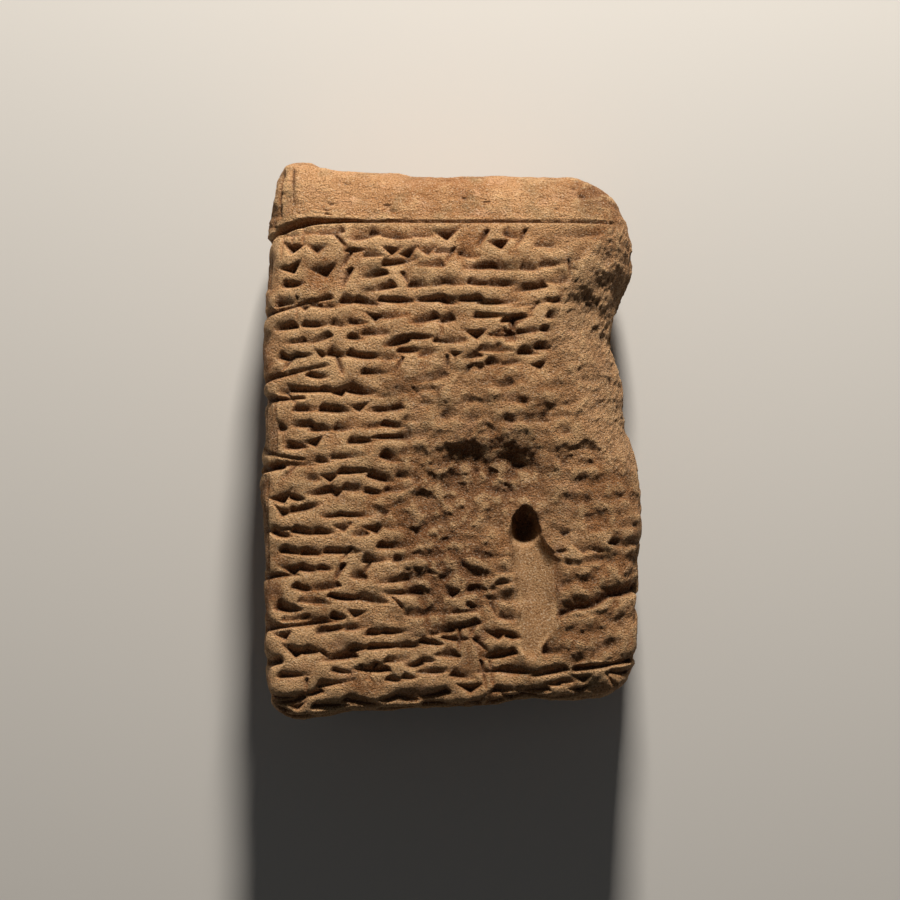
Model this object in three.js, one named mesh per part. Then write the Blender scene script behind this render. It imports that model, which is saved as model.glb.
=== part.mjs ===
// A hand-formed clay tablet, lying on its back: +X to the right of the written face, +Y towards its top, +Z out of it.
// Millimetres. The origin is under the middle of its outline, on the surface that it lies on.
//
// The form is a squared cushion. Each point of a gridded block is carried onto it, its outline follows the four worn
// edges, and its losses are then sunk into the face: the broken right shoulder, the crumbled pit and the smooth scoop.
import * as THREE from "three";

// ---- The cushion ----
const HALF_WIDTH = 31; // nominal, before each edge wanders
const HALF_LENGTH = 44;
const FACE_RISE = 12.5; // the face's crown over the widest section
const BACK_DROP = 14.5; // the back's crown under it
const OUTLINE_POWER = 12; // squareness of the outline's corners
const FACE_POWER = 6.5; // squareness of the face's rolled edges at the sides
const TOP_FACE_POWER = 4; // the roll is broader at the top, over the head band
const BOTTOM_FACE_POWER = 10; // and tighter at the bottom, which the rows run right up to
const BACK_POWER = 2.7; // the back is rounder
const REST_SHARE = 0.975; // the back is pressed flat beyond this share of its drop, where it lies

// ---- The ruled line under the bare head band ----
const RULE_HEIGHT = 0.815; // its place along the half length
const RULE_DIP = 0.05; // how far it dips towards the left edge, as a share of the half length
const RULE_HALF_WIDTH = 0.9;
const RULE_DEPTH = 0.8;

// ---- The broken right shoulder ----
const BREAK_SLOPE = 0.37; // how fast the fracture falls away to the right
const BREAK_MOST = 4;

// ---- The crumbled pit in the middle of the face ----
const PIT_DEPTH = 2.6;
const PIT_CROWN = { x: 6, y: 4.6 }; // the highest point of its upper rim
const PIT_RIM_FALL = 0.042; // the rim falls away to both sides as a parabola

// ---- The smooth scoop that runs down from the pit, and the hole at its upper end ----
const SCOOP_DEPTH = 3.6;
const SCOOP_MIDDLE = 11.8; // x of its middle line at its upper end
const SCOOP_TOP = -12.2; // y of its upper end
const SCOOP_LENGTH = 25; // it climbs back to the face over this length
const HOLE = { x: 12.1, y: -14.3, radius: 3.3, depth: 4.6 };

// ---- Facets: the gridded block is as wide and long as a cube, but only this share as thick ----
const BLOCK_THICKNESS = 0.72;
const SPACING_POWER = 4; // spaces the block's lines so that they lie evenly on the face
const EDGE_CROWDING = 0.2; // 0 spaces the lines evenly over the face, more draws them towards its edges
const COLUMNS = 36;
const ROWS = 52;
const LAYERS = 6;

// ---- Small helpers: a smooth step from 0 to 1, and a smooth bump of height 1 ----
const ramp = (t, from, to) => THREE.MathUtils.smoothstep(t, from, to);
const bell = (t, centre, spread) => Math.exp(-(((t - centre) / spread) ** 2));

// ---- The four edges of the outline, each as a distance from the middle ----
function leftEdge(y) {
  return -30.4 + 0.9 * ramp(y, 20, 44) - 0.8 * bell(y, -11, 8);
}

function rightEdge(y) {
  const swell = 0.8 * bell(y, -13, 10);
  const broken = 4.2 * bell(y, 17, 7.5) + 1.9 * bell(y, 4, 6);
  return 30.4 + swell - broken;
}

function topEdge(x) {
  const pinchedCorner = 2.1 * bell(x, -27, 5);
  const lift = 1.5 * (1 - ramp(x, -30, 2));
  const worn = 0.05 * Math.max(0, x - 19) ** 2;
  return 43.4 + pinchedCorner + lift - worn;
}

function bottomEdge(x) {
  const sag = 1.1 * bell(x, -26, 6);
  const nick = 0.7 * bell(x, 12.5, 4);
  return -43.7 + 0.054 * x - sag + nick;
}

// ---- The losses, each as a depth below the face at (x, y) ----
function breakDepth(x, y) {
  const edgeOfBreak = 28 - 3 * (1 - ramp(y, 28, 42)) - 8 * bell(y, 19, 11) - 2 * bell(y, 6, 6);
  return Math.min(BREAK_MOST, BREAK_SLOPE * Math.max(0, x - edgeOfBreak)) * ramp(y, -6, 2);
}

function pitDepth(x, y) {
  const belowRim = PIT_CROWN.y - PIT_RIM_FALL * (x - PIT_CROWN.x) ** 2 - y;
  const across = ramp(x, -9, 3) * (1 - ramp(x, 11, 22));
  const rim = ramp(belowRim, 0, 9 - 1.5 * ramp(x, 8, 14)); // steeper on the right
  return PIT_DEPTH * rim * (1 - 0.93 * ramp(belowRim, 7, 24)) * across;
}

function scoopDepth(x, y) {
  const down = SCOOP_TOP - y;
  const middle = SCOOP_MIDDLE + 2.3 * ramp(down, 0, 10) - ramp(down, 16, 24);
  const halfWidth = 2.6 + 1.3 * ramp(down, 3, 10) - 2.8 * ramp(down, 15, 25);
  const wall = 1 - ramp(Math.abs(x - middle), 0.3 * halfWidth, 1.35 * halfWidth);
  const floor = SCOOP_DEPTH * ramp(down, -0.9, 3) * Math.max(0, 1 - down / SCOOP_LENGTH) * wall;
  const fromHole = Math.hypot(x - HOLE.x, (y > HOLE.y ? 0.65 : 1) * (y - HOLE.y)); // gentler above it
  return floor + HOLE.depth * (1 - ramp(fromHole, 0.2 * HOLE.radius, HOLE.radius));
}

// ---- The ruled line's depth: its groove is deep at the left, and dies out before the broken shoulder ----
function ruleDepth(across) {
  return RULE_DEPTH * (1 - 0.5 * ramp(across, -0.9, 0)) * (1 - ramp(across, 0.82, 0.92));
}

// ---- The cushion: a point (a, b, c) of the block, carried onto the tablet ----
function facePower(b) {
  const [top, bottom] = [ramp(b, 0.2, 0.9), ramp(-b, 0.5, 0.95)];
  return FACE_POWER + (TOP_FACE_POWER - FACE_POWER) * top + (BOTTOM_FACE_POWER - FACE_POWER) * bottom;
}

function reachOf(a, b, c) {
  const power = c > 0 ? facePower(b) : BACK_POWER;
  const outline = (Math.abs(a) ** OUTLINE_POWER + Math.abs(b) ** OUTLINE_POWER) ** (power / OUTLINE_POWER);
  return (outline + Math.abs(c) ** power) ** (1 / power);
}

function onTablet(a, b, c, isRule) {
  const reach = reachOf(a, b, c);
  const [across, along, out] = [a / reach, b / reach, c / reach];
  let x = across * HALF_WIDTH;
  let y = along * HALF_LENGTH;
  for (let pass = 0; pass < 4; pass++) {
    x = THREE.MathUtils.lerp(leftEdge(y), rightEdge(y), (across + 1) / 2);
    y = THREE.MathUtils.lerp(bottomEdge(x), topEdge(x), (along + 1) / 2);
  }
  if (out <= 0) return new THREE.Vector3(x, y, BACK_DROP * Math.max(out, -REST_SHARE));
  const lost = Math.max(breakDepth(x, y), pitDepth(x, y), scoopDepth(x, y));
  const groove = isRule ? ruleDepth(across) : 0;
  return new THREE.Vector3(x, y, FACE_RISE * out - (lost + groove) * ramp(out, 0, 0.55));
}

// ---- The grid. Its lines lie evenly over the face, apart from the ruled line's two lips and its floor ----
function blockLine(share) {
  return (BLOCK_THICKNESS * share) / (1 - Math.abs(share) ** SPACING_POWER) ** (1 / SPACING_POWER);
}

function gridLines(count) {
  const faceShare = 1 / (1 + BLOCK_THICKNESS ** SPACING_POWER) ** (1 / SPACING_POWER);
  const crowded = (t) => t * (1 + EDGE_CROWDING * (1 - t * t));
  return Array.from({ length: count + 1 }, (_, k) => blockLine(faceShare * crowded((2 * k) / count - 1)));
}

function faceRows() {
  const rows = gridLines(ROWS);
  const floor = rows.findIndex((b) => b > blockLine(RULE_HEIGHT - RULE_HALF_WIDTH / HALF_LENGTH));
  const halfWidth = RULE_HALF_WIDTH / HALF_LENGTH;
  [-1, 0, 1].forEach((side) => (rows[floor + side] = blockLine(RULE_HEIGHT + side * halfWidth)));
  return { rows, floor };
}

// How far row b moves on the block at column a, so that the ruled line runs straight and then dips to the left. The
// rows beside it share in this, less and less towards the middle and the top edge.
function rowShift(a, b) {
  const ruleRow = blockLine(RULE_HEIGHT);
  const height = RULE_HEIGHT - RULE_DIP * ramp(-a, 0.35, 1) ** 2;
  let moved = height;
  for (let pass = 0; pass < 12; pass++) moved = height * reachOf(a, moved, BLOCK_THICKNESS);
  return (moved - ruleRow) * Math.max(0, Math.min(b / ruleRow, (1 - b) / (1 - ruleRow)));
}

// ---- One side of the block as a grid of points, as triangles that face out. Each cell is cut along its shorter
// diagonal, which keeps the corners round ----
function addSide(points, us, vs, at) {
  for (let i = 1; i < us.length; i++) {
    for (let j = 1; j < vs.length; j++) {
      const [p, q, r, s] = [at(i - 1, j - 1), at(i, j - 1), at(i, j), at(i - 1, j)];
      if (p.distanceTo(r) < q.distanceTo(s)) points.push(p, q, r, p, r, s);
      else points.push(p, q, s, q, r, s);
    }
  }
}

function tabletGeometry() {
  const { rows, floor } = faceRows();
  const columns = gridLines(COLUMNS);
  const layers = Array.from({ length: LAYERS + 1 }, (_, k) => BLOCK_THICKNESS * ((2 * k) / LAYERS - 1));
  const at = (i, j, k) => {
    const [a, c] = [columns[i], layers[k]];
    const b = rows[j] + rowShift(a, rows[j]) * ramp(c, 0, BLOCK_THICKNESS);
    return onTablet(a, b, c, j === floor && k === LAYERS);
  };
  const points = [];
  addSide(points, columns, rows, (i, j) => at(i, j, LAYERS));
  addSide(points, rows, columns, (j, i) => at(i, j, 0));
  addSide(points, rows, layers, (j, k) => at(COLUMNS, j, k));
  addSide(points, layers, rows, (k, j) => at(0, j, k));
  addSide(points, layers, columns, (k, i) => at(i, ROWS, k));
  addSide(points, columns, layers, (i, k) => at(i, 0, k));
  const geometry = new THREE.BufferGeometry().setFromPoints(points);
  geometry.computeBoundingBox();
  const { min, max } = geometry.boundingBox;
  geometry.translate(-(min.x + max.x) / 2, -(min.y + max.y) / 2, -min.z);
  geometry.computeVertexNormals();
  return geometry;
}

const clay = new THREE.MeshStandardMaterial({ color: 0xb08b68, roughness: 0.9, metalness: 0 });
const tablet = new THREE.Mesh(tabletGeometry(), clay);
tablet.name = "tablet";

const part = new THREE.Group();
part.add(tablet);

export default part;
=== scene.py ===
"""A cuneiform tablet of sun-dried clay, lying on its back.

The body is the same squared cushion as the CAD solid, on a fine grid. Its relief is worked out on two flat
sheets of clay depths, one unrolled from the written face over its edges and one for the back, and is then
sunk into the body along its normals. Lengths are in millimetres, with +X to the right of the written face,
+Y towards its blank head band and +Z out of it, until the mesh is made in metres at the end.
"""
import math

import bpy
import numpy as np
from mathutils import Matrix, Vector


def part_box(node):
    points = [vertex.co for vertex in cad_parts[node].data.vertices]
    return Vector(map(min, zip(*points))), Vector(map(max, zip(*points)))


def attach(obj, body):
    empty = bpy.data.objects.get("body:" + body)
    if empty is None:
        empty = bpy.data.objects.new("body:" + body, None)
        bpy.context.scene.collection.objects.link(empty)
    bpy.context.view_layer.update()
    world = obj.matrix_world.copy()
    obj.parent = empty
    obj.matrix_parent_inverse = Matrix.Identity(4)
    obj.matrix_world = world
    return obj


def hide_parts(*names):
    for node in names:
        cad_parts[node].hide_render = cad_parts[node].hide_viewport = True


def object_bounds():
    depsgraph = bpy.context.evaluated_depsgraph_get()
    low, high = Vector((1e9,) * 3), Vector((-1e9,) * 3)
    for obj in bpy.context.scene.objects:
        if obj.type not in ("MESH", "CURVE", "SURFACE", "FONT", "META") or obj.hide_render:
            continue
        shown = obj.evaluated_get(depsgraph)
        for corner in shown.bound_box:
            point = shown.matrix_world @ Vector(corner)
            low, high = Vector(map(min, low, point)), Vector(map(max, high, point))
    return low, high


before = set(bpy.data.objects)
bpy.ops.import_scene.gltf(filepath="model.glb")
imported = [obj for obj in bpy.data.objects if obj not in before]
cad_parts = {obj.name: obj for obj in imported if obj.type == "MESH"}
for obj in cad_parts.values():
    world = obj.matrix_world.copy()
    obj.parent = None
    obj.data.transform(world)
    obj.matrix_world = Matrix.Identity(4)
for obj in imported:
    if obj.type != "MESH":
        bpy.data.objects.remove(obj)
cad_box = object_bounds()
tablet_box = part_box("tablet")

MM = 0.001
SEED = 415

# ---- The body: the CAD solid's own form ----
HALF_WIDTH, HALF_LENGTH = 31.0, 44.0
FACE_RISE, BACK_DROP = 12.5, 14.5
OUTLINE_POWER, FACE_POWER, TOP_FACE_POWER, BOTTOM_FACE_POWER, BACK_POWER = 12, 6.5, 4, 10, 2.7
REST_SHARE = 0.975
BLOCK_THICKNESS, SPACING_POWER = 0.72, 4
EDGE_CROWDING = 0.2
COLUMNS, ROWS = 460, 670
FACE_LAYERS, BACK_LAYERS = 34, 22
MOST_TRIANGLES, PLAIN_TRIANGLES = 195_000, 45_000
PROUDEST = 0.4  # how far the relief may stand out of the body

# ---- The losses ----
BREAK_SLOPE, BREAK_MOST = 0.37, 4
PIT_X, PIT_Y, PIT_DEPTH = 6, 4.6, 2.6
SCOOP_TOP, SCOOP_DEPTH, SCOOP_LENGTH = -12.2, 3.6, 25
HOLE_X, HOLE_Y, HOLE_RADIUS, HOLE_DEPTH = 12.1, -14.3, 3.3, 4.6

# ---- The camera ----
LENS, CAMERA_Y, CAMERA_RISE = 147.6, -1.75, 600

# ---- The sheets of clay depths ----
STEP = 0.1
SHEET_U, SHEET_V = 50.0, 64.0


def ramp(t, start, end):
    """A smooth step from 0 at start to 1 at end."""
    s = np.clip((t - start) / (end - start), 0, 1)
    return s * s * (3 - 2 * s)


def bell(t, centre, spread):
    """A smooth bump of height 1."""
    return np.exp(-(((t - centre) / spread) ** 2))


# ---- The four worn edges of the outline ----
def left_edge(y):
    return -30.4 + 0.9 * ramp(y, 20, 44) - 0.8 * bell(y, -11, 8)


def right_edge(y):
    swell = 0.8 * bell(y, -13, 10)
    broken = 4.2 * bell(y, 17, 7.5) + 1.9 * bell(y, 4, 6)
    return 30.4 + swell - broken


def top_edge(x):
    pinched_corner = 2.1 * bell(x, -27, 5)
    lift = 1.5 * (1 - ramp(x, -30, 2))
    worn = 0.05 * np.maximum(0, x - 19) ** 2
    return 43.4 + pinched_corner + lift - worn


def bottom_edge(x):
    sag = 1.1 * bell(x, -26, 6)
    nick = 0.7 * bell(x, 12.5, 4)
    return -43.7 + 0.054 * x - sag + nick


# ---- The losses, as depths below the face ----
def break_edge(y):
    """Where the fracture of the right shoulder starts."""
    return 28 - 3 * (1 - ramp(y, 28, 42)) - 8 * bell(y, 19, 11) - 2 * bell(y, 6, 6)


def break_depth(x, y):
    return np.minimum(BREAK_MOST, BREAK_SLOPE * np.maximum(0, x - break_edge(y))) * ramp(y, -6, 2)


def pit_depth(x, y):
    below_rim = PIT_Y - 0.042 * (x - PIT_X) ** 2 - y
    across = ramp(x, -9, 3) * (1 - ramp(x, 11, 22))
    rim = ramp(below_rim, 0, 9 - 1.5 * ramp(x, 8, 14))
    return PIT_DEPTH * rim * (1 - 0.93 * ramp(below_rim, 7, 24)) * across


def scoop_shape(x, y):
    """How far down the scoop a point lies, and its distance from the middle line in half widths."""
    down = SCOOP_TOP - y
    middle = 11.8 + 2.3 * ramp(down, 0, 10) - ramp(down, 16, 24)
    half_width = 2.6 + 1.3 * ramp(down, 3, 10) - 2.8 * ramp(down, 15, 25)
    return down, np.abs(x - middle) / half_width


def scoop_depth(x, y):
    down, aside = scoop_shape(x, y)
    wall = 1 - ramp(aside, 0.3, 1.35)
    floor = SCOOP_DEPTH * ramp(down, -0.9, 3) * np.maximum(0, 1 - down / SCOOP_LENGTH) * wall
    up = y - HOLE_Y
    from_hole = np.hypot(x - HOLE_X, np.where(up > 0, 0.65, 1.0) * up)
    return floor + HOLE_DEPTH * (1 - ramp(from_hole, 0.7, HOLE_RADIUS))


# ---- The gridded block that is carried onto the cushion ----
def block_line(share):
    return BLOCK_THICKNESS * share / (1 - np.abs(share) ** SPACING_POWER) ** (1 / SPACING_POWER)


def grid_lines(count):
    face_share = 1 / (1 + BLOCK_THICKNESS**SPACING_POWER) ** (1 / SPACING_POWER)
    t = np.linspace(-1, 1, count + 1)
    return block_line(face_share * t * (1 + EDGE_CROWDING * (1 - t * t)))


def block_points():
    """The block's surface points (a, b, c), and its quads, which face out."""
    columns, rows = grid_lines(COLUMNS), grid_lines(ROWS)
    low = np.linspace(-1, 0, BACK_LAYERS + 1)
    high = np.linspace(0, 1, FACE_LAYERS + 1)[1:]
    layers = BLOCK_THICKNESS * np.concatenate([low, high])
    a, b = np.meshgrid(columns, rows, indexing="ij")
    numbers = np.arange(a.size).reshape(a.shape)
    rim = np.concatenate([numbers[:-1, 0], numbers[-1, :-1], numbers[:0:-1, -1], numbers[0, :0:-1]])
    flat_a, flat_b = a.ravel(), b.ravel()
    sheet = a.size
    points = [np.stack([flat_a, flat_b, np.full(sheet, side * BLOCK_THICKNESS)], 1) for side in (1, -1)]
    rings = [rim + sheet]
    for c in layers[1:-1]:
        rings.append(2 * sheet + (len(rings) - 1) * rim.size + np.arange(rim.size))
        points.append(np.stack([flat_a[rim], flat_b[rim], np.full(rim.size, c)], 1))
    rings.append(rim)
    corners = [numbers[:-1, :-1], numbers[1:, :-1], numbers[1:, 1:], numbers[:-1, 1:]]
    face = np.stack(corners, -1).reshape(-1, 4)
    quads = [face, face[:, ::-1] + sheet]
    for lower, upper in zip(rings, rings[1:]):
        quads.append(np.stack([lower, np.roll(lower, -1), np.roll(upper, -1), upper], 1))
    return np.concatenate(points), np.concatenate(quads)


def cushion(block):
    """The block's points on the smooth cushion, and their rise: -1 at the back to 1 at the face's crown."""
    a, b, c = block.T
    top, bottom = ramp(b, 0.2, 0.9), ramp(-b, 0.5, 0.95)
    face_power = FACE_POWER + (TOP_FACE_POWER - FACE_POWER) * top
    face_power = face_power + (BOTTOM_FACE_POWER - FACE_POWER) * bottom
    power = np.where(c > 0, face_power, BACK_POWER)
    outline = (np.abs(a) ** OUTLINE_POWER + np.abs(b) ** OUTLINE_POWER) ** (1 / OUTLINE_POWER)
    reach = (outline**power + np.abs(c) ** power) ** (1 / power)
    across, along, out = a / reach, b / reach, c / reach
    x, y = across * HALF_WIDTH, along * HALF_LENGTH
    for _ in range(4):
        x = left_edge(y) + (right_edge(y) - left_edge(y)) * (across + 1) / 2
        y = bottom_edge(x) + (top_edge(x) - bottom_edge(x)) * (along + 1) / 2
    z = np.where(out > 0, FACE_RISE * out, BACK_DROP * np.maximum(out, -REST_SHARE))
    return np.stack([x, y, z], 1), out


def spare_arc(out, half, rise, power):
    """How much longer the section's curve is than its plan, from the crown down to a share of the rise."""
    angle = np.linspace(math.pi / 2, 0, 2000)
    plan, height = np.cos(angle) ** (2 / power), np.sin(angle) ** (2 / power)
    curve = np.concatenate([[0], np.cumsum(np.hypot(np.diff(plan) * half, np.diff(height) * rise))])
    return np.interp(-out, -height, curve - plan * half)


def run_over(plan, half, share, out, rise, power, far_rise, far_power):
    """A place on a sheet along one axis: the plan distance and what the curve adds, on both halves."""
    near, far = np.clip(out, 0, 1), np.clip(-out, 0, 1)
    equator = spare_arc(0.0, half, rise, power) + spare_arc(0.0, half, far_rise, far_power)
    plan_lost = half * (1 - (1 - far**far_power) ** (1 / far_power))
    past = equator - spare_arc(far, half, far_rise, far_power) + 2 * plan_lost
    extra = np.where(out >= 0, spare_arc(near, half, rise, power), past)
    return plan + np.sign(plan) * extra * share


def unrolled(block, points, out):
    """Each point's place on the face's sheet and on the back's sheet, which run on over the edges."""
    a, b = (np.abs(block[:, k]) ** OUTLINE_POWER for k in range(2))
    weight = a / (a + b + 1e-12)
    top, bottom = ramp(block[:, 1], 0.2, 0.9), ramp(-block[:, 1], 0.5, 0.95)
    places = []
    for axis, half, share in ((0, HALF_WIDTH, weight), (1, HALF_LENGTH, 1 - weight)):
        plan = points[:, axis]
        powers = (FACE_POWER, TOP_FACE_POWER, BOTTOM_FACE_POWER)
        far = (BACK_DROP, BACK_POWER)
        face, high, low = (run_over(plan, half, share, out, FACE_RISE, power, *far) for power in powers)
        back = run_over(plan, half, share, -out, *far, FACE_RISE, FACE_POWER)
        places.append((face + (high - face) * top + (low - face) * bottom, back))
    return list(zip(*places))


# ---- Sheets of clay depths ----
class Sheet:
    """A grid of depths in millimetres, positive into the clay, over the unrolled places (u, v)."""

    def __init__(self, seed):
        self.u = np.arange(-SHEET_U, SHEET_U, STEP)
        self.v = np.arange(-SHEET_V, SHEET_V, STEP)
        self.x, self.y = np.meshgrid(self.u, self.v, indexing="ij")
        self.depth = np.zeros(self.x.shape)
        self.random, self.chance = np.random.default_rng(seed), np.random.default_rng(seed + 1000)
        self.frequency = np.hypot(
            np.fft.fftfreq(self.u.size, STEP)[:, None], np.fft.rfftfreq(self.v.size, STEP)[None, :]
        )

    def blur(self, field, sigma):
        keep = np.exp(-2 * (math.pi * self.frequency * sigma) ** 2)
        return np.fft.irfft2(np.fft.rfft2(field) * keep, s=field.shape)

    def noise(self, longest, shortest, slope=1.0, stretch=1.0, heading=0.0):
        """Seeded noise of unit spread whose waves lie between two lengths, drawn out along a heading."""
        white = np.fft.rfft2(self.chance.standard_normal(self.x.shape))
        fu = np.fft.fftfreq(self.u.size, STEP)[:, None]
        fv = np.fft.rfftfreq(self.v.size, STEP)[None, :]
        along = (fu * math.cos(heading) + fv * math.sin(heading)) * stretch
        aside = -fu * math.sin(heading) + fv * math.cos(heading)
        f = np.hypot(along, aside) + 1e-9
        band = (1 - np.exp(-((f * longest) ** 4))) * np.exp(-((f * shortest) ** 4))
        field = np.fft.irfft2(white * band * f**-slope, s=self.x.shape)
        return field / field.std()

    def window(self, u, v, reach):
        """The part of the sheet within reach of a place, with coordinates from there."""
        i, j = int((u + SHEET_U) / STEP), int((v + SHEET_V) / STEP)
        n = int(reach / STEP) + 1
        cut = (slice(max(0, i - n), max(0, i + n)), slice(max(0, j - n), max(0, j + n)))
        return cut, self.x[cut] - u, self.y[cut] - v

    def at(self, field, u, v):
        """A field read between its grid points."""
        fu = np.clip((u + SHEET_U) / STEP, 0, self.u.size - 1.001)
        fv = np.clip((v + SHEET_V) / STEP, 0, self.v.size - 1.001)
        i, j = fu.astype(int), fv.astype(int)
        s, t = fu - i, fv - j
        near = field[i, j] * (1 - t) + field[i, j + 1] * t
        far = field[i + 1, j] * (1 - t) + field[i + 1, j + 1] * t
        return near * (1 - s) + far * s


# ---- One impression of a reed, and the rows that are written with it ----
NEAR_WALL = 0.38


def press(sheet, u, v, length, far, depth, heading, sag=0.0):
    """A wedge: a steep wall below its deepest line, and above it a long wall that rounds up to the ground."""
    cut, du, dv = sheet.window(u, v, length + far + 1)
    s = du * math.cos(heading) + dv * math.sin(heading)
    t = (dv * math.cos(heading) - du * math.sin(heading)) * math.copysign(1, math.cos(heading))
    tail = np.clip(s / length, 0, 1)
    t = t + sag * 4 * tail * (1 - tail)
    upper = np.clip(1 - t / (far * (1 - 0.35 * tail)), 0, 1) ** 1.8
    head = ramp(s - 0.4 * t, -0.8, 0.2)
    along = np.minimum(head, 1 - tail**3) * (1 - 0.35 * tail)
    dent = depth * along * np.where(t > 0, upper, np.clip(1 + t / NEAR_WALL, 0, 1))
    sheet.depth[cut] = np.maximum(sheet.depth[cut], dent)


def poke(sheet, u, v, size, depth, turn):
    """A corner of the reed alone: a three-sided pit, deepest at its lower corner."""
    cut, du, dv = sheet.window(u, v, 2 * size)
    s = du * math.cos(turn) + dv * math.sin(turn)
    t = -du * math.sin(turn) + dv * math.cos(turn)
    roof = np.clip(1 - t / size, 0, 1) ** 1.6
    walls = 1 - (0.64 * np.abs(s) - 0.77 * t) / NEAR_WALL
    dent = depth * np.clip(np.minimum(roof, walls), 0, 1)
    sheet.depth[cut] = np.maximum(sheet.depth[cut], dent)


def groove(sheet, path, far, near, depth, fade=1.2):
    """A drawn line through a few points, with a long far wall above it and a steep near wall below it."""
    us, vs = np.array(path, float).T
    i = np.flatnonzero((sheet.u > us.min() - fade) & (sheet.u < us.max() + fade))
    u = sheet.u[i][:, None]
    t = sheet.y[i] - np.interp(sheet.u[i], us, vs)[:, None]
    ends = ramp(u, us.min() - fade, us.min() + 0.2) * (1 - ramp(u, us.max() - 0.2, us.max() + fade))
    across = np.where(t > 0, np.clip(1 - t / far, 0, 1) ** 1.5, np.clip(1 + t / near, 0, 1))
    sheet.depth[i] = np.maximum(sheet.depth[i], depth * ends * across)


KINDS = {"wedge": 0.64, "corner": 0.14, "slant": 0.09, "tall": 0.08, "gap": 0.05}


def write_row(sheet, baseline, start, end, height, depth):
    """A row of chance wedges in two tiers, none of which makes a sign, with a few tall ones across both."""
    random = sheet.random
    degrees = math.tau / 360
    tier = 0.5 * height
    for k in range(2):
        u = start + random.uniform(-0.5, 1.0)
        while u < end:
            kind = random.choice(list(KINDS), p=list(KINDS.values()))
            width = random.uniform(2.4, 6.5)
            v = baseline(u) + k * tier + random.normal(0, 0.05) * height
            deep = depth * random.uniform(0.7, 1.4)
            heading = random.normal(3, 5) * degrees
            if kind == "wedge":
                begin, way = (u, 0) if random.random() < 0.65 else (u + width, math.pi)
                far = tier * random.uniform(0.65, 1.2)
                press(sheet, begin, v, 1.15 * width, far, deep, heading + way, random.uniform(0, 0.5))
            elif kind == "corner":
                size = tier * random.uniform(0.55, 0.95)
                width = 1.5 * size
                poke(sheet, u + 0.5 * width, v - 0.1 * tier, size, 1.25 * deep, 2 * heading)
            elif kind == "slant":
                lean = random.choice([-50, -130]) + random.normal(0, 10)
                press(sheet, u + 0.5 * width, v + tier, 1.3 * tier, 1.5, deep, lean * degrees)
            elif kind == "tall" and k == 0:
                width = 1.7
                lean = random.normal(-88, 5)
                press(sheet, u + 0.5, v + 0.85 * height, 0.95 * height, 1.4, 0.8 * deep, lean * degrees)
            u += width * random.uniform(0.75, 0.95)


# ---- The written face ----
RULE_Y, RULE_END = 35.6, 27.6
ROW_COUNT, ROW_PITCH = 15, 5.7


def rule_line(u):
    """The ruled line under the head band: straight, then dipping round the left edge."""
    return RULE_Y - 2.6 * ramp(-u, 15, 33) ** 2 - 0.25 * np.maximum(0, -u - 29)


def written_face():
    sheet = Sheet(SEED)
    x, y = sheet.x, sheet.y
    for k in range(ROW_COUNT):
        bottom = 30.4 - ROW_PITCH * k
        slope = 0.01 + 0.1 * k / ROW_COUNT

        def baseline(u, bottom=bottom, slope=slope, k=k):
            return bottom + slope * (u + 26) + 0.35 * math.sin(0.19 * u + 1.7 * k)

        write_row(sheet, baseline, -28.5 + 1.2 * math.sin(2.3 * k), 30, ROW_PITCH, 1.25)
    signs = sheet.depth
    sheet.depth = np.zeros_like(signs)

    # Lines drawn round the left edge, and cracks.
    for start, end, far, deep in (
        ((-36, 19.2), (-19.5, 22.9), 1.6, 1.1),
        ((-36, 8.4), (-20, 12.0), 1.2, 0.7),
        ((-36, 6.0), (-24, 6.7), 1.2, 1.0),
        ((-36, -1.6), (-24, -3.3), 1.0, 0.8),
        ((-36, -15.4), (-26, -14.6), 1.0, 0.7),
        ((-36, -23.0), (-25, -22.0), 1.2, 0.9),
        ((-36, -31.6), (-18.5, -29.6), 1.5, 1.0),
        ((-36, -43.0), (-25.5, -42.2), 1.4, 1.1),
    ):
        groove(sheet, (start, end), far, 0.35, deep)
    groove(sheet, ((-38, -5.3), (-31, -4.9), (-27.5, -4.4)), 1.6, 0.6, 2.2)
    groove(sheet, ((-38, -37.4), (-31, -36.8), (-28, -36.2)), 1.5, 0.7, 2.0)
    groove(sheet, ((17.8, -28.7), (20.5, -27.6), (23.4, -27.2), (26, -25.6), (34, -24.6)), 3.4, 0.5, 2.0)
    groove(sheet, ((20.5, -37.6), (29.5, -36.3), (34, -35.8)), 1.6, 0.5, 1.5)
    for u, top, tall in ((-26.3, 45.5, 8.5), (-29.2, 45, 9), (-27.9, 33.2, 4.6), (-26.2, 33.6, 4.2)):
        press(sheet, u, top, tall, 1.3, 0.8, math.radians(-87))
    drawn = sheet.depth

    # The ruled line.
    t = y - rule_line(x)
    left = ramp(-x, 12, 28)
    wide = 0.5 + 1.1 * left
    walls = np.where(t > 0, np.clip(1 - t / wide, 0, 1) ** 1.1, np.clip(1 + t / 0.3, 0, 1))
    rule = (0.5 + 1.5 * left) * walls
    rule *= 1 - ramp(x, RULE_END - 0.6, RULE_END + 0.4)
    return sheet, signs, drawn, rule


def wear_map(sheet, clouds):
    """Where the strokes are worn away: 0 is crisp and 1 is gone."""
    x, y = sheet.x, sheet.y
    middle = np.exp(-(((x - 3) / 13) ** 4) - ((y + 10) / 17) ** 4)
    grainy = 0.75 * bell(y, 8, 5) * ramp(x, -16, -6)
    right = 0.95 * ramp(x, 13, 18) * (1 - 0.5 * bell(y, -17.5, 3)) * (1 - 0.5 * ramp(y, 14, 24))
    wear = np.maximum(np.maximum(middle, grainy), right) + 0.14 * clouds
    wear = wear * (1 - 0.8 * ramp(-y, 33.5, 37))
    bare = ramp(x, 16, 19) * bell(y, -33, 6)
    return np.clip(np.maximum(wear, bare), 0.04, 1)


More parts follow.
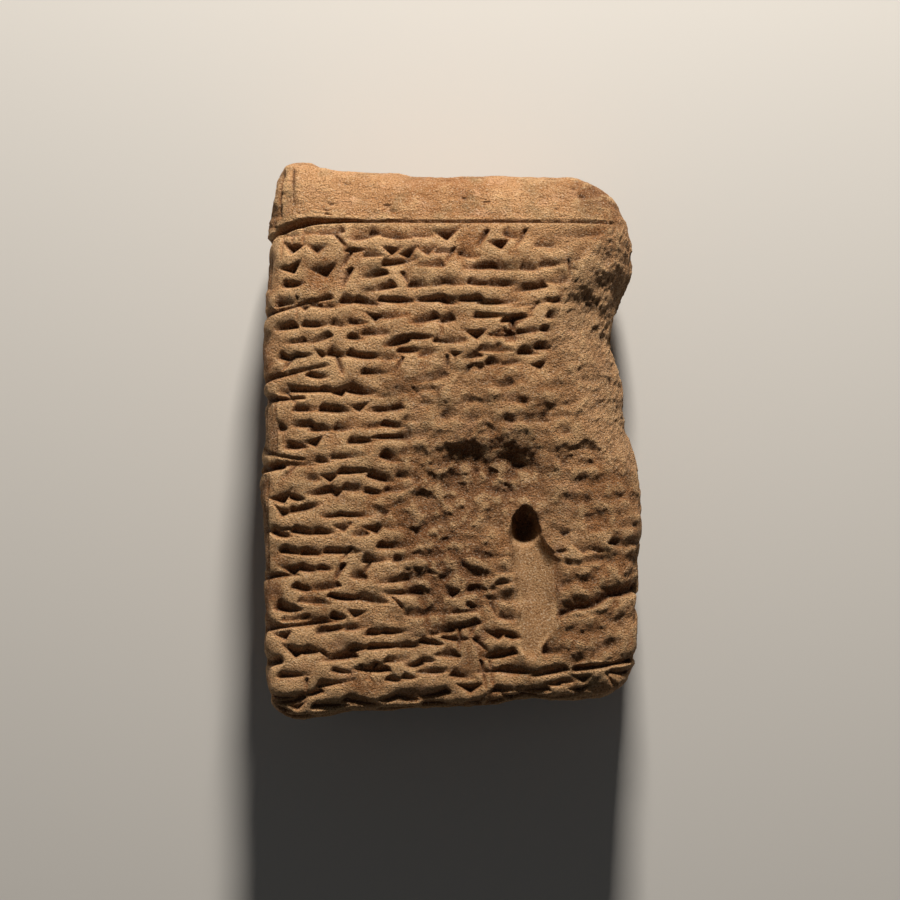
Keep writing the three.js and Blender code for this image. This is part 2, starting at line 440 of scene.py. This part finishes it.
def side_strips(sheet):
    """The smooth upright facets at the left edge, which the fingers left: 1 on them."""
    x, y = sheet.x, sheet.y
    strips = np.zeros_like(x)
    facets = ((-28.4, -4.6, 7.2), (-29.9, -21.5, -5.6), (-30.2, 24.5, 33), (-28.2, 36.6, 46))
    for ridge, low, high in facets:
        strip = ramp(ridge - x, -0.1, 0.25) * ramp(y, low - 0.3, low + 0.3)
        strips = np.maximum(strips, strip * (1 - ramp(y, high - 0.3, high + 0.3)))
    return strips


def softened(sheet, depth, wear):
    """Strokes with their lips rubbed a little round, and wholly blurred where they are worn."""
    crisp = sheet.blur(depth, 0.07)
    crisp = np.maximum(crisp, 0.95 * sheet.blur(depth, 0.3))
    crisp = np.maximum(crisp, 0.7 * sheet.blur(depth, 0.8))
    return crisp * (1 - wear) + (0.5 * sheet.blur(depth, 0.5) + 0.25 * sheet.blur(depth, 1.0)) * wear


def face_relief():
    """The face's sheet with its finished depth, and the masks that its colours follow."""
    sheet, signs, drawn, rule = written_face()
    x, y = sheet.x, sheet.y
    clouds = sheet.noise(16, 4, 1.6)
    lumps = sheet.noise(7, 1.6, 1.4)
    crumbs = sheet.noise(3.2, 0.7, 0.9)
    sand = sheet.noise(1.4, 0.32, 0.3)
    streaks = sheet.noise(1.8, 0.4, 0.6, stretch=2.2, heading=math.radians(57))
    uprights = sheet.noise(2.0, 0.4, 0.6, stretch=9, heading=math.radians(90))
    strata = sheet.noise(2.5, 0.4, 0.8, stretch=6, heading=math.radians(-2))

    # Masks of the bare and broken places, each from 0 to 1. Their outlines wander.
    sheet.wander = [0.5 * sheet.noise(12, 3, 1.6) + 0.15 * lumps for _ in range(2)]
    x, y = x + sheet.wander[0], y + sheet.wander[1]
    broken = ramp(x, break_edge(y) - 1.2, break_edge(y) + 0.8) * ramp(y, -8, -2) * (1 - ramp(y, 33, 37))
    pit = np.clip(pit_depth(x, y) / 2.2, 0, 1)
    down, aside = scoop_shape(sheet.x + 0.5 * sheet.wander[0], sheet.y)
    scoop = (1 - ramp(aside, 0.65, 1.3)) * ramp(down, 0.5, 3.5) * (1 - ramp(down, 21, 26))
    spot = np.exp(-(((x - 9.5) / 2.6) ** 2 + ((y - 17.2) / 2.2) ** 2) ** 2)
    corner = 0.7 * np.exp(-(((x - 26) / 5) ** 4) - ((y - 41.5) / 3.5) ** 4)
    crumbly = np.maximum(pit, 0.8 * np.exp(-(((x + 1) / 7.5) ** 4) - ((y + 20) / 15) ** 4))
    band = ramp(sheet.y - rule_line(sheet.x), -0.2, 0.6)
    strips = side_strips(sheet)

    wear = wear_map(sheet, clouds)
    kept = (1 - broken) * (1 - ramp(pit_depth(x, y - 1.5), 0.1, 1))
    kept = kept * (1 - scoop) * (1 - band) * (1 - strips)
    strokes = softened(sheet, signs, wear) * kept
    strokes = np.maximum(strokes, softened(sheet, drawn, 0.3 * wear) * (1 - scoop))
    strokes = strokes - 0.6 * sheet.blur(strokes, 1.8)
    rough = np.clip(0.15 + 0.7 * wear + 0.3 * crumbly + 0.3 * spot + corner, 0, 1.4) * (1 - 0.5 * broken)
    rough = rough * (1 - 0.9 * scoop) * (1 - 0.3 * band) * (1 - 0.6 * strips)
    beside_rule = 1 - 0.75 * bell(sheet.y - rule_line(sheet.x), 0, 1.6)

    depth = strokes + np.maximum(rule, 0) * (1 - broken)
    depth += 0.16 * clouds * (1 - scoop) * beside_rule
    depth += (0.03 + 0.10 * rough) * lumps * (1 - scoop) * beside_rule
    depth += (0.012 + 0.035 * rough) * crumbs * (1 - scoop) * beside_rule
    depth += band * (0.035 * strata + 0.2 * ramp(strata * lumps, 2.2, 3.2))
    depth += 0.03 * np.maximum(0, rough - 0.3) * sand
    depth += broken * (0.05 * streaks + 0.03 * crumbs + 0.03 * lumps)
    depth += crumbly * (0.06 * lumps + 0.015 * crumbs) * (1 - scoop)
    depth += spot * (0.6 + 0.12 * crumbs)
    depth += strips * (0.28 + 0.04 * uprights)
    sheet.depth = depth
    # recess: above 0 where the clay is sunk below its surroundings, below 0 where it stands proud; the clay
    # paints shade into the first and a highlight onto the second
    recess = np.clip((depth - sheet.blur(depth, 0.9)) / 0.4, -1, 1)
    wall = ramp(sheet.x - 14.5, 1.2, 3.6) * scoop * (1 - ramp(down, 15, 19))
    # The pit mark: the crumbly pit and rough patches get a darker brown, partly their own colour and partly
    # painted shade on the pit's slope, which turns from the light.
    rotten_and_shaded = np.maximum(np.maximum(crumbly, spot), corner)
    marks = {"recess": recess, "broken": broken, "pit": rotten_and_shaded, "scoop": scoop, "wall": wall}
    # The strip mark carries painted shade onto the upright left facets.
    return sheet, marks | {"worn": wear, "strip": strips}


def back_relief():
    """The hidden back: worn rows of shallower strokes."""
    sheet = Sheet(SEED + 1)
    x, y = sheet.x, sheet.y
    for k in range(15):
        bottom = 34.0 - 5.0 * k

        def baseline(u, bottom=bottom, k=k):
            return bottom + 0.04 * u + 0.4 * math.sin(0.15 * u + 2.1 * k)

        write_row(sheet, baseline, -27, 25, 4.2, 0.6)
    clouds = sheet.noise(16, 4, 1.6)
    lumps = sheet.noise(7, 1.6, 1.4)
    crumbs = sheet.noise(3.2, 0.7, 0.9)
    wear = np.clip(0.6 + 0.3 * clouds + 0.5 * ramp(np.hypot(x / 30, y / 44), 0.75, 1.0), 0.1, 1)
    strokes = softened(sheet, sheet.depth, wear)
    depth = strokes - 0.45 * sheet.blur(strokes, 2.2)
    depth += 0.16 * clouds + 0.1 * lumps + (0.01 + 0.02 * wear) * crumbs
    sheet.depth = depth
    # recess on the back: the same painted shade and highlight as on the face
    recess = np.clip((depth - sheet.blur(depth, 0.9)) / 0.4, -1, 1)
    nothing = np.zeros_like(depth)
    absent = dict.fromkeys(("broken", "pit", "scoop", "wall", "strip"), nothing)
    return sheet, {"recess": recess, "worn": wear} | absent


# ---- The mesh ----
def outward(points, quads):
    """The smooth body's normals at its points."""
    p, q, r, s = (points[quads[:, k]] for k in range(4))
    facing = np.cross(r - p, s - q)
    total = np.stack(
        [np.bincount(quads.ravel(), np.repeat(facing[:, axis], 4), len(points)) for axis in range(3)], 1
    )
    return total / np.linalg.norm(total, axis=1)[:, None]


def make_mesh(name, points, quads, marks):
    mesh = bpy.data.meshes.new(name)
    mesh.vertices.add(len(points))
    mesh.vertices.foreach_set("co", points.astype(np.float32).ravel())
    mesh.loops.add(quads.size)
    mesh.loops.foreach_set("vertex_index", quads.astype(np.int32).ravel())
    mesh.polygons.add(len(quads))
    mesh.polygons.foreach_set("loop_start", np.arange(0, quads.size, 4, dtype=np.int32))
    mesh.update(calc_edges=True)
    for mark, values in marks.items():
        layer = mesh.attributes.new(mark, "FLOAT", "POINT")
        layer.data.foreach_set("value", values.astype(np.float32))
    mesh.validate()
    return mesh


def collapse(piece, ratio, group=""):
    """Collapses the flattest detail first, within a group of points if one is named."""
    bpy.context.view_layer.objects.active = piece
    thin = piece.modifiers.new("thin", "DECIMATE")
    thin.ratio, thin.vertex_group = ratio, group
    thin.use_collapse_triangulate = True
    with bpy.context.temp_override(object=piece, active_object=piece, selected_objects=[piece]):
        bpy.ops.object.modifier_apply(modifier=thin.name)


def thinned(piece, quads, plain):
    """Thins the plain back and sides first, and then the whole piece, to the most triangles allowed."""
    group = piece.vertex_groups.new(name="plain")
    group.add(np.flatnonzero(plain).tolist(), 1.0, "REPLACE")
    plain_count = 2 * int(plain[quads].all(1).sum())
    total = 2 * len(quads)
    collapse(piece, (total - plain_count + PLAIN_TRIANGLES) / total, group.name)
    collapse(piece, MOST_TRIANGLES / len(piece.data.polygons))
    piece.vertex_groups.clear()
    piece.data.shade_smooth()


def build_tablet():
    block, quads = block_points()
    points, out = cushion(block)
    middle = (points.min(0) + points.max(0)) / 2
    (face_u, face_v), (back_u, back_v) = unrolled(block, points, out)
    normals = outward(points, quads)
    face, face_marks = face_relief()
    back, back_marks = back_relief()
    turned = ramp(-out, 0.35, 0.6)
    x, y = (points[:, k] + face.at(face.wander[k], face_u, face_v) for k in range(2))
    on_face = ramp(out, 0, 0.55)
    plan = points[:, :2].T
    scooped = scoop_depth((plan[0] + x) / 2, (plan[1] + y) / 2)
    lost = np.maximum(np.maximum(break_depth(*plan), pit_depth(x, y)), scooped) * on_face
    sunk = (1 - turned) * face.at(face.depth, face_u, face_v) + turned * back.at(back.depth, back_u, back_v)
    points = points - normals * np.maximum(sunk, -PROUDEST)[:, None]
    points[:, 2] -= lost
    points[:, 2] = np.maximum(points[:, 2], -BACK_DROP * REST_SHARE)
    marks = {}
    for mark in face_marks:
        near, far = face.at(face_marks[mark], face_u, face_v), back.at(back_marks[mark], back_u, back_v)
        marks[mark] = (1 - turned) * near + turned * far
    # The side mark carries painted shade: the sides, which turn down away from the light, get a darker brown.
    marks["side"] = 1 - ramp(np.abs(out), 0.0, 0.75)

    low, high = np.array(tablet_box[0]), np.array(tablet_box[1])
    place = (low + high) / 2
    points = (points - middle) * MM
    points[:, :2] += place[:2]
    points[:, 2] += low[2] - points[:, 2].min()
    mesh = make_mesh("clay_tablet", points, quads, marks)
    piece = bpy.data.objects.new("clay_tablet", mesh)
    bpy.context.collection.objects.link(piece)
    thinned(piece, quads, out < 0.3)
    return piece


# ---- The clay ----
def hue(red, green, blue):
    """A colour given as it looks on a screen, from 0 to 255, in linear light."""
    return tuple(((c / 255 + 0.055) / 1.055) ** 2.4 for c in (red, green, blue)) + (1,)


class Nodes:
    """A short way to write a material's nodes."""

    def __init__(self, name):
        self.material = bpy.data.materials.new(name)
        self.material.use_nodes = True
        self.tree = self.material.node_tree
        self.tree.nodes.clear()
        self.place = self.add("ShaderNodeTexCoord").outputs["Object"]

    def add(self, kind, **settings):
        node = self.tree.nodes.new(kind)
        for key, value in settings.items():
            setattr(node, key, value)
        return node

    def put(self, socket, value):
        if isinstance(value, bpy.types.NodeSocket):
            self.tree.links.new(value, socket)
        else:
            socket.default_value = value

    def noise(self, size_mm, detail=3, roughness=0.55, distortion=0.0, shift=0.0):
        moved = self.add("ShaderNodeVectorMath", operation="ADD")
        self.put(moved.inputs[0], self.place)
        self.put(moved.inputs[1], (shift, shift * 0.7, -shift))
        node = self.add("ShaderNodeTexNoise")
        self.put(node.inputs["Vector"], moved.outputs[0])
        self.put(node.inputs["Scale"], 1 / (size_mm * MM))
        self.put(node.inputs["Detail"], detail)
        self.put(node.inputs["Roughness"], roughness)
        self.put(node.inputs["Distortion"], distortion)
        return node.outputs["Fac"]

    def span(self, value, low, high, to_low=0.0, to_high=1.0):
        node = self.add("ShaderNodeMapRange", interpolation_type="SMOOTHSTEP")
        sockets = ("Value", "From Min", "From Max", "To Min", "To Max")
        for socket, given in zip(sockets, (value, low, high, to_low, to_high)):
            self.put(node.inputs[socket], given)
        return node.outputs["Result"]

    def maths(self, operation, first, second=0.0):
        node = self.add("ShaderNodeMath", operation=operation)
        self.put(node.inputs[0], first)
        self.put(node.inputs[1], second)
        return node.outputs[0]

    def mix(self, share, first, second, blend="MIX"):
        node = self.add("ShaderNodeMix", data_type="RGBA", blend_type=blend)
        self.put(node.inputs["Factor"], share)
        self.put(node.inputs["A"], first)
        self.put(node.inputs["B"], second)
        return node.outputs["Result"]

    def mark(self, name):
        return self.add("ShaderNodeAttribute", attribute_name=name).outputs["Fac"]


def clay():
    n = Nodes("sun_dried_clay")
    tan, brown = hue(198, 150, 104), hue(168, 117, 73)
    pink, olive, orange = hue(216, 168, 128), hue(152, 128, 92), hue(172, 108, 56)
    dust_and_highlight, dark, pale = hue(230, 188, 138), hue(88, 54, 30), hue(222, 204, 180)

    clouds = n.noise(14, 4)
    colour = n.mix(n.span(clouds, 0.4, 0.62), tan, brown)
    colour = n.mix(n.span(n.noise(5, 4, shift=0.3), 0.5, 0.72, 0, 0.6), colour, olive)
    colour = n.mix(n.span(n.noise(3.2, 3, shift=0.7), 0.54, 0.7, 0, 0.55), colour, pink)
    colour = n.mix(n.span(n.noise(1.1, 3, shift=1.1), 0.62, 0.74, 0, 0.6), colour, orange)
    colour = n.mix(n.span(n.mark("worn"), 0.2, 1.0, 0, 0.25), colour, brown)
    # Darker brown over the pit and rough patches: partly their own colour, partly painted shade on the pit's
    # slope.
    colour = n.mix(n.span(n.mark("pit"), 0.1, 0.9, 0, 0.65), colour, hue(124, 80, 46))
    colour = n.mix(n.span(n.mark("broken"), 0.1, 0.9, 0, 0.35), colour, hue(206, 166, 124))
    colour = n.mix(n.span(n.mark("scoop"), 0.3, 0.9, 0, 0.8), colour, hue(156, 121, 84))
    colour = n.mix(n.span(n.mark("wall"), 0.1, 0.9, 0, 0.8), colour, hue(128, 76, 36))
    # Painted shade: the sides are darker brown.
    colour = n.mix(n.span(n.mark("side"), 0.25, 1.0, 0, 0.4), colour, hue(150, 104, 66))
    # Painted shade: the upright left facets are darker brown.
    colour = n.mix(n.span(n.mark("strip"), 0.1, 0.9, 0, 0.5), colour, hue(132, 96, 62))

    # Painted shade, with dirt, darkens what is sunk, and a painted highlight, with the clay rubbed pale,
    # lightens what stands proud.
    recess = n.mark("recess")
    colour = n.mix(n.span(recess, 0.1, 1.0, 0, 0.8), colour, dark)
    colour = n.mix(n.span(recess, 0.0, -0.5, 0, 0.6), colour, dust_and_highlight)

    # Sand grains, darker and lighter than the clay.
    speck = n.noise(0.3, 3, 0.7, shift=1.9)
    colour = n.mix(n.span(speck, 0.52, 0.66, 0, 0.75), colour, dark)
    colour = n.mix(n.span(speck, 0.46, 0.34, 0, 0.45), colour, pale)

    fine = n.noise(0.3, 3, 0.7, shift=2.3)
    medium = n.noise(0.8, 3, 0.6, shift=2.9)
    smooth = n.span(n.mark("scoop"), 0.3, 0.9, 1.0, 0.25)
    smooth = n.maths("MULTIPLY", smooth, n.span(n.mark("worn"), 0.1, 0.9, 0.75, 1.15))
    height = n.maths("ADD", fine, n.maths("MULTIPLY", medium, 0.5))
    bump = n.add("ShaderNodeBump")
    n.put(bump.inputs["Strength"], 1.0)
    n.put(bump.inputs["Distance"], 1.0 * MM)
    n.put(bump.inputs["Height"], n.maths("MULTIPLY", height, smooth))

    shader = n.add("ShaderNodeBsdfPrincipled")
    n.put(shader.inputs["Base Color"], colour)
    n.put(shader.inputs["Roughness"], n.span(speck, 0.3, 0.7, 0.82, 0.98))
    n.put(shader.inputs["Specular IOR Level"], 0.25)
    n.put(shader.inputs["Normal"], bump.outputs["Normal"])
    n.put(n.add("ShaderNodeOutputMaterial").inputs["Surface"], shader.outputs["BSDF"])
    return n.material


# ---- The floor, the light and the camera ----
def floor():
    bpy.ops.mesh.primitive_plane_add(size=6, location=(0, 0, cad_box[0][2] - 0.02 * MM))
    ground = bpy.context.object
    ground.name = "floor"
    paint = bpy.data.materials.new("floor_paint")
    paint.use_nodes = True
    shader = paint.node_tree.nodes["Principled BSDF"]
    shader.inputs["Base Color"].default_value = (0.62, 0.61, 0.59, 1)
    shader.inputs["Roughness"].default_value = 0.9
    ground.data.materials.append(paint)


def lamp(name, direction, distance, size, power, colour):
    light = bpy.data.lights.new(name, "AREA")
    light.size, light.energy, light.color = size, power, colour
    holder = bpy.data.objects.new(name, light)
    bpy.context.collection.objects.link(holder)
    place = np.array(direction, float)
    place *= distance / np.linalg.norm(place)
    holder.location = place
    holder.rotation_euler = holder.location.to_track_quat("Z", "Y").to_euler()


def studio():
    lamp("key", (0.08, 1.0, 0.56), 0.5, 0.07, 4.3, (1.0, 0.93, 0.84))
    lamp("fill", (-0.6, -0.2, 1.0), 1.4, 1.2, 0.5, (1.0, 0.97, 0.93))
    world = bpy.data.worlds.new("studio")
    world.use_nodes = True
    world.node_tree.nodes["Background"].inputs["Color"].default_value = (1, 1, 1, 1)
    world.node_tree.nodes["Background"].inputs["Strength"].default_value = 0.035
    bpy.context.scene.world = world
    bpy.context.scene.view_settings.view_transform = "Standard"


def camera():
    """Straight above the tablet, with its top up."""
    lens = bpy.data.cameras.new("camera")
    lens.lens, lens.sensor_width = LENS, 36
    holder = bpy.data.objects.new("camera", lens)
    bpy.context.collection.objects.link(holder)
    holder.location = (0, CAMERA_Y * MM, cad_box[1][2] + CAMERA_RISE * MM)
    bpy.context.scene.camera = holder


tablet = build_tablet()
tablet.data.materials.append(clay())
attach(tablet, "root")
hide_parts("tablet")
floor()
studio()
camera()
